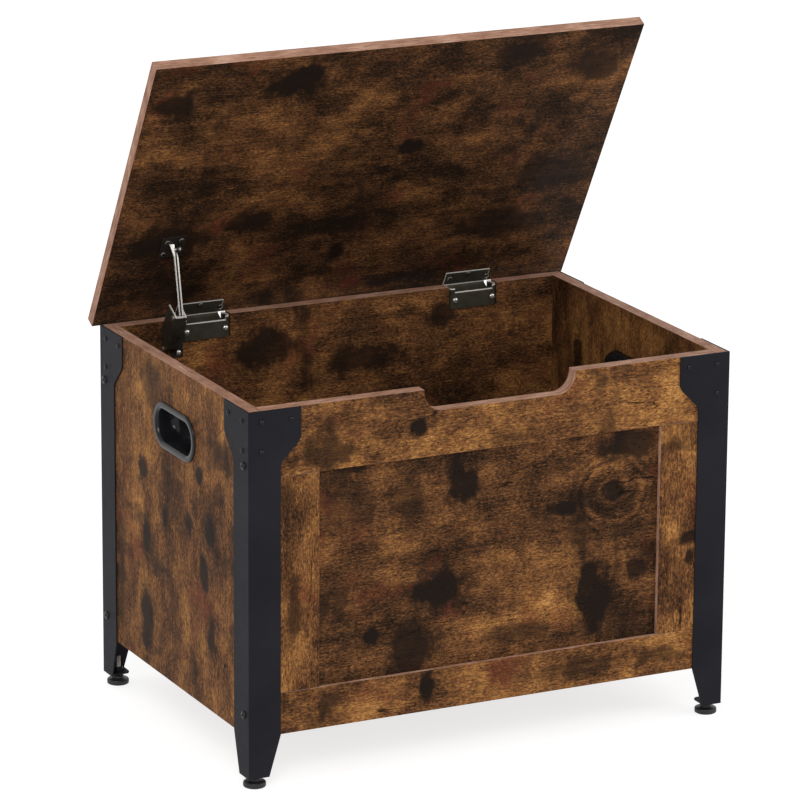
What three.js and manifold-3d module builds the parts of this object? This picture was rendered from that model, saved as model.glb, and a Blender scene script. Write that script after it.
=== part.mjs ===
// Wooden toy box on angled steel legs, with its lid held open by a soft-close stay.
// Millimetres, +Z up, the front faces -Y. The case is built about x = 0, y = 0 with the floor at z = 0,
// and the last group centres the open box's footprint on the origin.
import * as THREE from 'three';
import { mergeVertices } from 'three/addons/utils/BufferGeometryUtils.js';
import Module from 'manifold-3d';

// Overall sizes
const CASE_WIDTH = 586; // over the corner legs
const CASE_DEPTH = 400;
const CASE_TOP = 424;
const LID_WIDTH = 600;
const LID_DEPTH = 380;
const LID_THICKNESS = 13;
const LID_OPENING = THREE.MathUtils.degToRad(60.5);

// Boards
const BOARD = 15;
const FRONT_PANEL = 10;
const PANEL_BOTTOM = 58.4;
const FLOOR_BOARD = 12;
const BATTEN = 11;
const TOP_RAIL = 75.5;
const BOTTOM_RAIL = 47;
const STILE = 84.5; // from the leg's outer face to the stile's inner edge
const NOTCH_CENTRE = 8;
const NOTCH_WIDTH = 184;
const NOTCH_DEPTH = 24.7;
const NOTCH_RADIUS = 22;

// Steel legs and levelling feet
const STEEL = 1.5;
const LEG_FACE = 38;
const LEG_TOE = 24.5;
const FLARE = 62;
const FLARE_STRAIGHT = 36;
const FOOT_HEIGHT = 12.5;
const FOOT_RADIUS = 12.5;
const FOOT_INSET = 12.5;
const FOOT_DISC = 6;
const FOOT_NECK_RADIUS = 6.5;
const FOOT_NECK_TOP = 10;
const STUD_RADIUS = 3;
const STUD_LENGTH = 24;
const TAB = 24;
const TAB_LIFT = 1;
const WELD_NUT_RADIUS = 5.8;
const WELD_NUT_HEIGHT = 5;

// Bolts through the legs' side faces into the front and back boards
const BOLT_RADIUS = 2.5;
const BOLT_HEAD_RADIUS = 4.6;
const BOLT_HEAD = 2.4;
const BOLT_LENGTH = 34;
const BOLT_SETBACK = 4.9; // axis behind the front board's outer face
const BOLT_DROP = 61.5; // upper bolt below the case top
const BOLT_RISE = 25; // lower bolt above the panels' bottom edge

// Recessed side handles
const HANDLE_LENGTH = 110;
const HANDLE_HEIGHT = 53;
const HANDLE_RIM = 7;
const HANDLE_FLANGE = 2.5;
const HANDLE_WALL = 2;
const HANDLE_CUP_DEPTH = 25; // below the flange's back
const HANDLE_Y = -4.5;
const HANDLE_DROP = 72.5; // centre below the case top

// Lid hinges
const HINGE_X = 170.5;
const HINGE_INSET = 6.9; // pin centre in front of the case's back
const HINGE_DROP = 20; // pin centre below the case top
const HINGE_LENGTH = 57;
const HINGE_PIN_RADIUS = 2.5;
const HINGE_PIN_HEAD = 1.4;
const KNUCKLE_RADIUS = 3.8;
const LID_GAP = 0.5; // between the closed lid and the case top
const LID_BACK = 7.6; // pin centre behind the closed lid's back edge
const LEAF_DEPTH = 20;
const LEAF_SETBACK = 2;
const LEAF_SCREWS = [[-22, 11], [0.5, 16], [26, 10]];
const BASE_PLATE_HEIGHT = 20.2;
const BASE_SCREW_SPREAD = 24;
const BASE_SCREW_RISE = 10.2;
const EAR_TOP_GAP = 1.8; // ear tops below the case top

// Lid stay: a slotted channel on the back panel and an arm on the lid
const STAY_X = -219.5;
const STAY_PIVOT_INSET = 7.2; // in front of the back panel
const STAY_PIVOT_DROP = 30; // below the case top
const STAY_KNEE = [-30, 43]; // from the channel's pivot, in y and z
const STAY_SLOT_LENGTH = 4.3;
const STAY_SLOT_ANGLE = THREE.MathUtils.degToRad(-35);
const STAY_SLOT_PLAY = 1;
const STAY_LID_ALONG = 113.5; // pin from the lid's back edge
const STAY_LID_DROP = 7; // pin below the lid's inner face
const CHANNEL_WIDTH = 13;
const CHANNEL_WALL = 1.2;
const CHANNEL_END = 6.5;
const ARM_WIDTH = 5.2;
const ARM_WALL = 1;
const ARM_END = 3.8;
const ARM_KNEE_X = 2.3; // the arm's two ends stand off the channel's middle
const ARM_LID_X = -2.5;
const STAY_PIN_RADIUS = 1.9;
const STAY_PIN_HEAD = 1;
const LID_BRACKET_SIDES = [-20, 9]; // about the stay's centre
const LID_BRACKET_REACH = [97.5, 127.5]; // from the lid's back edge
const LID_BRACKET_SCREWS = [[-13.5, 120.3], [3.4, 121.7], [-14.9, 103]];
const STAY_PLATE_WIDTH = 13.2;
const STAY_PLATE_HEIGHT = 27;
const STAY_PLATE_SCREW_SPREAD = 8.5;

// Small screws
const SCREW_RADIUS = 1.6;
const SCREW_HEAD_RADIUS = 3.4;
const SCREW_HEAD = 1.7;
const SCREW_LENGTH = 10;
const SHORT_SCREW = 2.6;

// Clearances
const GAP = 0.3; // between pieces that touch
const HOLE_GAP = 0.3; // around a shank, pin or stud
const ROUND_STEPS = 12;

const wasm = await Module();
wasm.setup();

const X = new THREE.Vector3(1, 0, 0);
const Y = new THREE.Vector3(0, 1, 0);
const Z = new THREE.Vector3(0, 0, 1);

// A closed geometry as a solid that can be joined and cut.
function solid(geometry) {
  const bare = geometry.clone();
  bare.deleteAttribute('normal');
  bare.deleteAttribute('uv');
  const merged = mergeVertices(bare);
  return new wasm.Manifold(new wasm.Mesh({
    numProp: 3,
    vertProperties: new Float32Array(merged.attributes.position.array),
    triVerts: new Uint32Array(merged.index.array),
  }));
}

// A solid back as a flat-shaded geometry.
function surface(body) {
  const mesh = body.getMesh();
  const geometry = new THREE.BufferGeometry();
  geometry.setAttribute('position', new THREE.BufferAttribute(mesh.vertProperties, 3));
  geometry.setIndex(new THREE.BufferAttribute(mesh.triVerts, 1));
  const faceted = geometry.toNonIndexed();
  faceted.computeVertexNormals();
  return faceted;
}

const join = (first, ...others) => others.reduce((body, other) => body.add(other), first);
const cut = (first, ...others) => others.reduce((body, other) => body.subtract(other), first);

function box([x0, x1], [y0, y1], [z0, z1]) {
  const geometry = new THREE.BoxGeometry(Math.abs(x1 - x0), Math.abs(y1 - y0), Math.abs(z1 - z0));
  geometry.translate((x0 + x1) / 2, (y0 + y1) / 2, (z0 + z1) / 2);
  return solid(geometry);
}

function outline(points) {
  return new THREE.Shape(points.map(([u, v]) => new THREE.Vector2(u, v)));
}

// An outline pushed along one axis. Its own axes are (y, z) along X, (x, z) along Y, (x, y) along Z.
function slab(shape, axis, from, to) {
  const options = { depth: Math.abs(to - from), bevelEnabled: false, curveSegments: ROUND_STEPS / 2 };
  const geometry = new THREE.ExtrudeGeometry(shape, options);
  const turn = new THREE.Matrix4();
  if (axis === 'x') turn.makeBasis(Y, Z, X).setPosition(Math.min(from, to), 0, 0);
  if (axis === 'y') turn.makeBasis(X, Z, Y.clone().negate()).setPosition(0, Math.max(from, to), 0);
  if (axis === 'z') turn.makeTranslation(0, 0, Math.min(from, to));
  geometry.applyMatrix4(turn);
  return solid(geometry);
}

// A round bar along one axis through (u, v), in the same axes as slab.
function bar(axis, radius, [u, v], from, to) {
  const shape = new THREE.Shape();
  shape.absarc(u, v, radius, 0, 2 * Math.PI);
  return slab(shape, axis, from, to);
}

// A rectangle with round corners, centred on (u, v).
function roundedRectangle(u, v, width, height, radius) {
  const shape = new THREE.Shape();
  const [left, right, low, high] = [u - width / 2, u + width / 2, v - height / 2, v + height / 2];
  shape.moveTo(left + radius, low);
  shape.lineTo(right - radius, low);
  shape.absarc(right - radius, low + radius, radius, -Math.PI / 2, 0);
  shape.lineTo(right, high - radius);
  shape.absarc(right - radius, high - radius, radius, 0, Math.PI / 2);
  shape.lineTo(left + radius, high);
  shape.absarc(left + radius, high - radius, radius, Math.PI / 2, Math.PI);
  shape.lineTo(left, low + radius);
  shape.absarc(left + radius, low + radius, radius, Math.PI, 1.5 * Math.PI);
  return shape;
}

// The outline that a band of the given radius sweeps from one point to another.
function obround([u0, v0], [u1, v1], radius) {
  const heading = Math.atan2(v1 - v0, u1 - u0);
  const shape = new THREE.Shape();
  shape.absarc(u1, v1, radius, heading - Math.PI / 2, heading + Math.PI / 2);
  shape.absarc(u0, v0, radius, heading + Math.PI / 2, heading + 1.5 * Math.PI);
  return shape;
}

// A domed screw about the z axis, its head's underside at z = 0.
function domedScrew(radius, length, headRadius, head) {
  const profile = [[0, -length], [radius * 0.5, -length], [radius, -length + radius], [radius, 0],
    [headRadius, 0], [headRadius * 0.86, head * 0.62], [headRadius * 0.5, head * 0.94], [0, head]];
  const points = profile.map(([r, z]) => new THREE.Vector2(r, z));
  const geometry = new THREE.LatheGeometry(points, 12);
  geometry.rotateX(Math.PI / 2);
  return solid(geometry);
}

// Turns a piece made about +z so that its head faces along the given direction, and moves it.
function aim(body, direction, position) {
  const turn = new THREE.Quaternion().setFromUnitVectors(Z, new THREE.Vector3(...direction));
  const place = new THREE.Matrix4().compose(new THREE.Vector3(...position), turn, new THREE.Vector3(1, 1, 1));
  return body.transform(place.elements);
}

const FINISHES = {
  wood: { color: 0x6b421f, roughness: 0.55, metalness: 0 },
  blackSteel: { color: 0x26272c, roughness: 0.6, metalness: 0.3 },
  bronze: { color: 0x4a4238, roughness: 0.35, metalness: 0.9 },
  zinc: { color: 0x77756f, roughness: 0.35, metalness: 0.9 },
  blackPlastic: { color: 0x0c0d10, roughness: 0.25, metalness: 0 },
  rubber: { color: 0x16171a, roughness: 0.7, metalness: 0 },
};

function addPart(group, name, body, finish) {
  const mesh = new THREE.Mesh(surface(body), new THREE.MeshStandardMaterial(FINISHES[finish]));
  mesh.name = name;
  group.add(mesh);
}

// Places that several pieces share
const SIDE_OUT = CASE_WIDTH / 2 - STEEL - GAP;
const SIDE_IN = SIDE_OUT - BOARD;
const FACE_OUT = CASE_DEPTH / 2 - STEEL - GAP;
const BACK_IN = FACE_OUT - BOARD;
const OVERLAY = BOARD - FRONT_PANEL;
const FRONT_SEAM = FACE_OUT - OVERLAY;
const FRONT_IN = FRONT_SEAM - GAP - FRONT_PANEL;
const BETWEEN_SIDES = SIDE_IN - GAP;
const FLOOR_LOW = PANEL_BOTTOM + BATTEN + GAP;
const HINGE_PIN = [CASE_DEPTH / 2 - HINGE_INSET, CASE_TOP - HINGE_DROP];
const NOTCH_LOW = HINGE_PIN[1] - KNUCKLE_RADIUS - 0.9 - STEEL - GAP;
const HINGE_NOTCH = HINGE_LENGTH / 2 + HINGE_PIN_HEAD + 1.1;
const PLATE_BACK = BACK_IN - GAP; // the back of every plate screwed to the back panel
const STAY_PIVOT = [BACK_IN - STAY_PIVOT_INSET, CASE_TOP - STAY_PIVOT_DROP];
const KNEE = [STAY_PIVOT[0] + STAY_KNEE[0], STAY_PIVOT[1] + STAY_KNEE[1]];
const LID_INNER = HINGE_DROP + LID_GAP; // the closed lid's inner face above the hinge pin
const LEAF_UNDER = LID_INNER - GAP - STEEL;
const BOLT_HEIGHTS = { upper: CASE_TOP - BOLT_DROP, lower: PANEL_BOTTOM + BOLT_RISE };
const BOLT_Y = FRONT_SEAM - GAP - BOLT_SETBACK;
const HANDLE_Z = CASE_TOP - HANDLE_DROP;
const SIDES = { left: -1, right: 1 };
const ENDS = { front: -1, back: 1 };

const boxCase = new THREE.Group();
// The lid's pieces are modelled closed, about the hinge pin, and the group opens them.
const lid = new THREE.Group();
lid.position.set(0, ...HINGE_PIN);
lid.rotation.x = -LID_OPENING;

// A point of the closed lid, measured back edge to front and down from the inner face.
const onLid = (along, drop) => [-LID_BACK - along, LID_INNER - drop];

// A point of the lid's frame in the case's frame, with the lid open.
function opened([y, z]) {
  const [c, s] = [Math.cos(LID_OPENING), Math.sin(LID_OPENING)];
  return [HINGE_PIN[0] + y * c + z * s, HINGE_PIN[1] - y * s + z * c];
}

const LID_PIN = onLid(STAY_LID_ALONG, STAY_LID_DROP);

// The holes for the leg bolts on one side and at one end of the case
function boltHoles(side, end) {
  const [from, to] = [side * (CASE_WIDTH / 2 + 1), side * (CASE_WIDTH / 2 - BOLT_LENGTH - 1)];
  return Object.values(BOLT_HEIGHTS).map((z) => bar('x', BOLT_RADIUS + HOLE_GAP, [end * BOLT_Y, z], from, to));
}

// Finger notch in the top of the front
function fingerNotch() {
  const [left, right] = [NOTCH_CENTRE - NOTCH_WIDTH / 2, NOTCH_CENTRE + NOTCH_WIDTH / 2];
  const low = CASE_TOP - NOTCH_DEPTH;
  const shape = new THREE.Shape();
  shape.moveTo(left, CASE_TOP + 1);
  shape.lineTo(left, low + NOTCH_RADIUS);
  shape.absarc(left + NOTCH_RADIUS, low + NOTCH_RADIUS, NOTCH_RADIUS, Math.PI, 1.5 * Math.PI);
  shape.lineTo(right - NOTCH_RADIUS, low);
  shape.absarc(right - NOTCH_RADIUS, low + NOTCH_RADIUS, NOTCH_RADIUS, 1.5 * Math.PI, 2 * Math.PI);
  shape.lineTo(right, CASE_TOP + 1);
  return slab(shape, 'y', -CASE_DEPTH / 2, -FRONT_IN + 1);
}

function buildFront() {
  const notch = fingerNotch();
  const railLow = CASE_TOP - TOP_RAIL;
  const railHigh = PANEL_BOTTOM + BOTTOM_RAIL;
  const overlay = [-FACE_OUT, -FRONT_SEAM];
  const board = box([-BETWEEN_SIDES, BETWEEN_SIDES], [-FRONT_SEAM + GAP, -FRONT_IN], [PANEL_BOTTOM, CASE_TOP]);
  addPart(boxCase, 'front_board', cut(board, notch, ...boltHoles(-1, -1), ...boltHoles(1, -1)), 'wood');
  const topRail = box([-BETWEEN_SIDES, BETWEEN_SIDES], overlay, [railLow, CASE_TOP]);
  addPart(boxCase, 'front_top_rail', cut(topRail, notch), 'wood');
  const bottomRail = box([-BETWEEN_SIDES, BETWEEN_SIDES], overlay, [PANEL_BOTTOM, railHigh]);
  addPart(boxCase, 'front_bottom_rail', bottomRail, 'wood');
  for (const [name, side] of Object.entries(SIDES)) {
    const across = [side * (CASE_WIDTH / 2 - STILE), side * BETWEEN_SIDES];
    const stile = box(across, overlay, [railHigh + GAP, railLow - GAP]);
    addPart(boxCase, `front_stile_${name}`, stile, 'wood');
  }
}

function buildBack() {
  let panel = box([-BETWEEN_SIDES, BETWEEN_SIDES], [BACK_IN, FACE_OUT], [PANEL_BOTTOM, CASE_TOP]);
  for (const side of Object.values(SIDES)) {
    const centre = side * HINGE_X;
    const notch = box([centre - HINGE_NOTCH, centre + HINGE_NOTCH], [BACK_IN - 1, FACE_OUT + 1],
      [NOTCH_LOW, CASE_TOP + 1]);
    panel = cut(panel, notch, ...boltHoles(side, 1));
  }
  const screwHoles = stayPlateScrews().map(([x, z]) => (
    bar('y', SCREW_RADIUS + HOLE_GAP, [x, z], BACK_IN - 1, BACK_IN + SCREW_LENGTH)));
  addPart(boxCase, 'back_panel', cut(panel, ...screwHoles), 'wood');
}

function buildSides() {
  const cup = cupOutline(HANDLE_WALL + GAP);
  for (const [name, side] of Object.entries(SIDES)) {
    const panel = box([side * SIDE_IN, side * SIDE_OUT], [-FACE_OUT, FACE_OUT], [PANEL_BOTTOM, CASE_TOP]);
    const cupHole = slab(cup, 'x', side * (SIDE_IN - 1), side * (SIDE_OUT + 1));
    const body = cut(panel, cupHole, ...boltHoles(side, -1), ...boltHoles(side, 1));
    addPart(boxCase, `${name}_panel`, body, 'wood');
  }
}

function buildFloor() {
  const [front, back] = [-FRONT_IN + GAP, BACK_IN - GAP];
  const across = [-BETWEEN_SIDES, BETWEEN_SIDES];
  const floor = box(across, [front, back], [FLOOR_LOW, FLOOR_LOW + FLOOR_BOARD]);
  addPart(boxCase, 'bottom_panel', floor, 'wood');
  const under = [PANEL_BOTTOM, PANEL_BOTTOM + BATTEN];
  addPart(boxCase, 'bottom_batten_front', box(across, [front, front + BATTEN], under), 'wood');
  addPart(boxCase, 'bottom_batten_back', box(across, [back - BATTEN, back], under), 'wood');
}

// One face of a leg, from the corner at u = 0: a tapered toe, a straight shank and a flared top.
function legFace(corner, inward) {
  const u = (distance) => corner + inward * distance;
  const flareLow = CASE_TOP - FLARE_STRAIGHT - (FLARE - LEG_FACE);
  const ease = 5;
  const shape = new THREE.Shape();
  shape.moveTo(corner, FOOT_HEIGHT);
  shape.lineTo(u(LEG_TOE), FOOT_HEIGHT);
  shape.lineTo(u(LEG_FACE), PANEL_BOTTOM);
  shape.lineTo(u(LEG_FACE), flareLow - ease);
  shape.quadraticCurveTo(u(LEG_FACE), flareLow, u(LEG_FACE + ease), flareLow + ease);
  shape.lineTo(u(FLARE - ease), CASE_TOP - FLARE_STRAIGHT - ease);
  shape.quadraticCurveTo(u(FLARE), CASE_TOP - FLARE_STRAIGHT, u(FLARE), CASE_TOP - FLARE_STRAIGHT + ease);
  shape.lineTo(u(FLARE), CASE_TOP);
  shape.lineTo(corner, CASE_TOP);
  return shape;
}

function buildLeg(name, side, end) {
  const [cornerX, cornerY] = [side * CASE_WIDTH / 2, end * CASE_DEPTH / 2];
  const facePlate = slab(legFace(cornerX, -side), 'y', cornerY, cornerY - end * STEEL);
  const sidePlate = slab(legFace(cornerY, -end), 'x', cornerX, cornerX - side * STEEL);
  const tabLow = FOOT_HEIGHT + TAB_LIFT;
  const middle = [cornerX - side * TAB / 2, cornerY - end * TAB / 2];
  const tabShape = roundedRectangle(...middle, TAB - STEEL / 2, TAB - STEEL / 2, STEEL * 4);
  const tab = slab(tabShape, 'z', tabLow, tabLow + STEEL);
  const stud = [cornerX - side * FOOT_INSET, cornerY - end * FOOT_INSET];
  const nutShape = new THREE.Shape();
  for (let corner = 0; corner < 6; corner += 1) {
    const angle = corner * Math.PI / 3;
    const point = [stud[0] + WELD_NUT_RADIUS * Math.cos(angle), stud[1] + WELD_NUT_RADIUS * Math.sin(angle)];
    if (corner === 0) nutShape.moveTo(...point);
    else nutShape.lineTo(...point);
  }
  const nut = slab(nutShape, 'z', tabLow + STEEL / 2, tabLow + STEEL + WELD_NUT_HEIGHT);
  const studHole = bar('z', STUD_RADIUS + HOLE_GAP, stud, 0, CASE_TOP / 2);
  const body = cut(join(facePlate, sidePlate, tab, nut), studHole, ...boltHoles(side, end));
  addPart(boxCase, `leg_${name}`, body, 'blackSteel');
}

function buildFoot(name, side, end) {
  const profile = [[0, 0], [FOOT_RADIUS - 1, 0], [FOOT_RADIUS, 1], [FOOT_RADIUS, FOOT_DISC - 1],
    [FOOT_RADIUS - 1, FOOT_DISC], [FOOT_NECK_RADIUS, FOOT_DISC], [FOOT_NECK_RADIUS, FOOT_NECK_TOP],
    [STUD_RADIUS, FOOT_NECK_TOP], [STUD_RADIUS, FOOT_NECK_TOP + STUD_LENGTH], [0, FOOT_NECK_TOP + STUD_LENGTH]];
  const geometry = new THREE.LatheGeometry(profile.map(([r, z]) => new THREE.Vector2(r, z)), 20);
  geometry.rotateX(Math.PI / 2);
  geometry.translate(side * (CASE_WIDTH / 2 - FOOT_INSET), end * (CASE_DEPTH / 2 - FOOT_INSET), 0);
  addPart(boxCase, `foot_${name}`, solid(geometry), 'rubber');
}

function buildBolts(name, side, end) {
  const profile = [[0, -BOLT_LENGTH], [BOLT_RADIUS, -BOLT_LENGTH], [BOLT_RADIUS, 0], [BOLT_HEAD_RADIUS, 0],
    [BOLT_HEAD_RADIUS, BOLT_HEAD * 0.4], [BOLT_HEAD_RADIUS * 0.7, BOLT_HEAD], [BOLT_RADIUS * 0.8, BOLT_HEAD],
    [BOLT_RADIUS * 0.8, BOLT_HEAD * 0.3], [0, BOLT_HEAD * 0.3]];
  const geometry = new THREE.LatheGeometry(profile.map(([r, z]) => new THREE.Vector2(r, z)), 12);
  geometry.rotateX(Math.PI / 2);
  const bolt = solid(geometry);
  for (const [level, z] of Object.entries(BOLT_HEIGHTS)) {
    const place = [side * (CASE_WIDTH / 2 + GAP), end * BOLT_Y, z];
    addPart(boxCase, `leg_bolt_${name}_${level}`, aim(bolt, [side, 0, 0], place), 'blackSteel');
  }
}

// The handle's recess grown by a margin, in the side panel's (y, z) axes
function cupOutline(margin) {
  const length = HANDLE_LENGTH - 2 * HANDLE_RIM - 2 * HANDLE_WALL + 2 * margin;
  const height = HANDLE_HEIGHT - 2 * HANDLE_RIM - 2 * HANDLE_WALL + 2 * margin;
  return roundedRectangle(HANDLE_Y, HANDLE_Z, length, height, height / 2 - 0.5);
}

// A moulded cup pull: a flange on the panel's outer face round a closed recess through the panel.
function buildHandles() {
  const flangeShape = roundedRectangle(HANDLE_Y, HANDLE_Z, HANDLE_LENGTH, HANDLE_HEIGHT, HANDLE_HEIGHT / 2 - 0.5);
  for (const [name, side] of Object.entries(SIDES)) {
    const seat = side * (SIDE_OUT + GAP);
    const face = seat + side * HANDLE_FLANGE;
    const flange = slab(flangeShape, 'x', seat, face);
    const cupBack = seat - side * HANDLE_CUP_DEPTH;
    const cup = slab(cupOutline(HANDLE_WALL), 'x', seat + side * HANDLE_FLANGE / 2, cupBack);
    const recess = slab(cupOutline(0), 'x', face + side, cupBack + side * HANDLE_WALL);
    addPart(boxCase, `handle_${name}`, cut(join(flange, cup), recess), 'blackPlastic');
  }
}

// The hinge's fixed half: a plate on the back panel's inner face, a flange in the notch and two ears.
function buildHingeBase(name, centre) {
  const half = HINGE_LENGTH / 2;
  const [plateBack, low] = [PLATE_BACK, NOTCH_LOW + GAP];
  const flangeBack = FACE_OUT - 1;
  const earTop = CASE_TOP - EAR_TOP_GAP;
  const plateTop = low + BASE_PLATE_HEIGHT;
  const screwHeight = low + BASE_SCREW_RISE;
  const plate = box([centre - half, centre + half], [plateBack - STEEL, plateBack], [low, plateTop]);
  const flange = box([centre - half, centre + half], [plateBack - STEEL, flangeBack], [low, low + STEEL]);
  const earShape = outline([[plateBack - STEEL, low], [flangeBack, low], [flangeBack, HINGE_PIN[1] + 10],
    [HINGE_PIN[0] + 2.4, earTop], [plateBack + 1, earTop], [plateBack - STEEL, earTop - 2.5]]);
  const ears = [-1, 1].map((end) => (
    slab(earShape, 'x', centre + end * (half - STEEL), centre + end * half)));
  const pinHole = bar('x', HINGE_PIN_RADIUS + HOLE_GAP, HINGE_PIN, centre - half - 1, centre + half + 1);
  const body = cut(join(plate, flange, ...ears), pinHole, ...[-1, 1].map((end) => (
    bar('y', SCREW_RADIUS + HOLE_GAP, [centre + end * BASE_SCREW_SPREAD, screwHeight],
      plateBack - STEEL - 1, plateBack + 1))));
  addPart(boxCase, `hinge_base_${name}`, body, 'bronze');
  const screw = domedScrew(SCREW_RADIUS, SHORT_SCREW, SCREW_HEAD_RADIUS, SCREW_HEAD);
  for (const [label, end] of Object.entries(SIDES)) {
    const place = [centre + end * BASE_SCREW_SPREAD, plateBack - STEEL - GAP, screwHeight];
    addPart(boxCase, `hinge_base_${name}_screw_${label}`, aim(screw, [0, -1, 0], place), 'zinc');
  }
}

function buildHingePin(name, centre) {
  const half = HINGE_LENGTH / 2 + GAP;
  const shank = bar('x', HINGE_PIN_RADIUS, HINGE_PIN, centre - half - 0.5, centre + half + 0.5);
  const heads = [-1, 1].map((end) => (
    bar('x', HINGE_PIN_RADIUS + 1, HINGE_PIN, centre + end * half, centre + end * (half + HINGE_PIN_HEAD))));
  addPart(boxCase, `hinge_pin_${name}`, join(shank, ...heads), 'zinc');
}

// The hinge's moving half: a plate on the lid's inner face, cranked down to a knuckle on the pin.
function buildHingeLeaf(name, centre) {
  const half = HINGE_LENGTH / 2;
  const inside = half - STEEL - 1.3;
  const [start] = onLid(LEAF_SETBACK, 0);
  const [end] = onLid(LEAF_DEPTH, 0);
  const plate = box([centre - half, centre + half], [end, start], [LEAF_UNDER, LEAF_UNDER + STEEL]);
  const web = -LID_BACK + STEEL;
  const crank = outline([[end + 2, LEAF_UNDER], [end + 2, LEAF_UNDER + STEEL], [web, LEAF_UNDER + STEEL],
    [web, 4.6], [1.5, 1.5], [-1.5, -1.5], [-LID_BACK, 4], [-LID_BACK, LEAF_UNDER]]);
  const knuckle = bar('x', KNUCKLE_RADIUS, [0, 0], centre - inside, centre + inside);
  const pinHole = bar('x', HINGE_PIN_RADIUS + HOLE_GAP, [0, 0], centre - half, centre + half);
  const screws = LEAF_SCREWS.map(([x, along]) => [centre + x, onLid(along, 0)[0]]);
  const holes = screws.map((point) => bar('z', SCREW_RADIUS + HOLE_GAP, point, LEAF_UNDER - 1, LID_INNER));
  const body = cut(join(plate, slab(crank, 'x', centre - inside, centre + inside), knuckle), pinHole, ...holes);
  addPart(lid, `hinge_leaf_${name}`, body, 'bronze');
  addLidScrews(`hinge_leaf_${name}_screw`, screws);
  return screws;
}

// Wood screws driven up through a plate into the lid
function addLidScrews(name, places) {
  const screw = domedScrew(SCREW_RADIUS, SCREW_LENGTH, SCREW_HEAD_RADIUS, SCREW_HEAD);
  places.forEach(([x, y], index) => {
    const place = [x, y, LEAF_UNDER - GAP];
    addPart(lid, `${name}_${index + 1}`, aim(screw, [0, 0, -1], place), 'zinc');
  });
}

function buildLid(screwPlaces) {
  const board = box([-LID_WIDTH / 2, LID_WIDTH / 2], [-LID_BACK - LID_DEPTH, -LID_BACK],
    [LID_INNER, LID_INNER + LID_THICKNESS]);
  const deep = LEAF_UNDER + SCREW_LENGTH;
  const holes = screwPlaces.map((point) => bar('z', SCREW_RADIUS + HOLE_GAP, point, LID_INNER - 1, deep));
  addPart(lid, 'lid_panel', cut(board, ...holes), 'wood');
}

// The stay's bracket on the lid: a plate and one ear that stands into the arm.
function buildLidBracket() {
  const [from, to] = LID_BRACKET_REACH.map((along) => onLid(along, 0)[0]);
  const [left, right] = LID_BRACKET_SIDES.map((x) => STAY_X + x);
  const plate = box([left, right], [from, to], [LEAF_UNDER, LEAF_UNDER + STEEL]);
  const foot = [LID_PIN[0], LEAF_UNDER];
  const earX = STAY_X + ARM_LID_X;
  const ear = slab(obround(foot, LID_PIN, ARM_END), 'x', earX - STEEL / 2, earX + STEEL / 2);
  const pinHole = bar('x', STAY_PIN_RADIUS + HOLE_GAP, LID_PIN, earX - STEEL, earX + STEEL);
  const screws = LID_BRACKET_SCREWS.map(([x, along]) => [STAY_X + x, onLid(along, 0)[0]]);
  const holes = screws.map((point) => bar('z', SCREW_RADIUS + HOLE_GAP, point, LEAF_UNDER - 1, LID_INNER));
  const aboveEar = box([earX - STEEL, earX + STEEL], [LID_PIN[0] - ARM_END * 2, LID_PIN[0] + ARM_END * 2],
    [LEAF_UNDER + STEEL, LID_INNER + LID_THICKNESS]);
  addPart(lid, 'stay_lid_bracket', cut(join(plate, cut(ear, aboveEar)), pinHole, ...holes), 'bronze');
  addLidScrews('stay_lid_screw', screws);
  addPart(lid, 'stay_lid_pin', headedPin(earX, LID_PIN, ARM_WIDTH / 2), 'zinc');
  return screws;
}

// A pin along x about a centre, with a head just outside each side of what it holds.
function headedPin(x, place, half) {
  const shank = bar('x', STAY_PIN_RADIUS, place, x - half - GAP - 0.5, x + half + GAP + 0.5);
  const heads = [-1, 1].map((end) => (
    bar('x', STAY_PIN_RADIUS + 1, place, x + end * (half + GAP), x + end * (half + GAP + STAY_PIN_HEAD))));
  return join(shank, ...heads);
}

// The arm: a narrow folded strip from the lid's pin down to the knee.
function buildArm() {
  const top = opened(LID_PIN);
  const half = ARM_WIDTH / 2;
  const shape = obround(KNEE, top, ARM_END);
  const walls = [-1, 1].map((end) => (
    slab(shape, 'x', STAY_X + end * (half - ARM_WALL), STAY_X + end * half)));
  const [dy, dz] = [top[0] - KNEE[0], top[1] - KNEE[1]];
  const length = Math.hypot(dy, dz);
  const at = (along, across) => [
    KNEE[0] + (dy * along - dz * across) / length,
    KNEE[1] + (dz * along + dy * across) / length,
  ];
  const [low, high] = [ARM_END * 2.4, length - ARM_END * 2.4];
  const webShape = outline([at(low, ARM_END), at(low, ARM_END - ARM_WALL), at(high, ARM_END - ARM_WALL),
    at(high, ARM_END)]);
  const web = slab(webShape, 'x', STAY_X - half + ARM_WALL / 2, STAY_X + half - ARM_WALL / 2);
  const holes = [KNEE, top].map((place) => (
    bar('x', STAY_PIN_RADIUS + HOLE_GAP, place, STAY_X - half - 1, STAY_X + half + 1)));
  // The strip leans sideways from the knee to the lid, so x shifts in proportion to the height.
  const slope = (ARM_LID_X - ARM_KNEE_X) / dz;
  const lean = [1, 0, 0, 0, 0, 1, 0, 0, slope, 0, 1, 0, ARM_KNEE_X - slope * KNEE[1], 0, 0, 1];
  addPart(boxCase, 'stay_arm', cut(join(...walls, web), ...holes).transform(lean), 'zinc');
  addPart(boxCase, 'stay_knee_pin', headedPin(STAY_X, KNEE, CHANNEL_WIDTH / 2), 'zinc');
}

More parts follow.
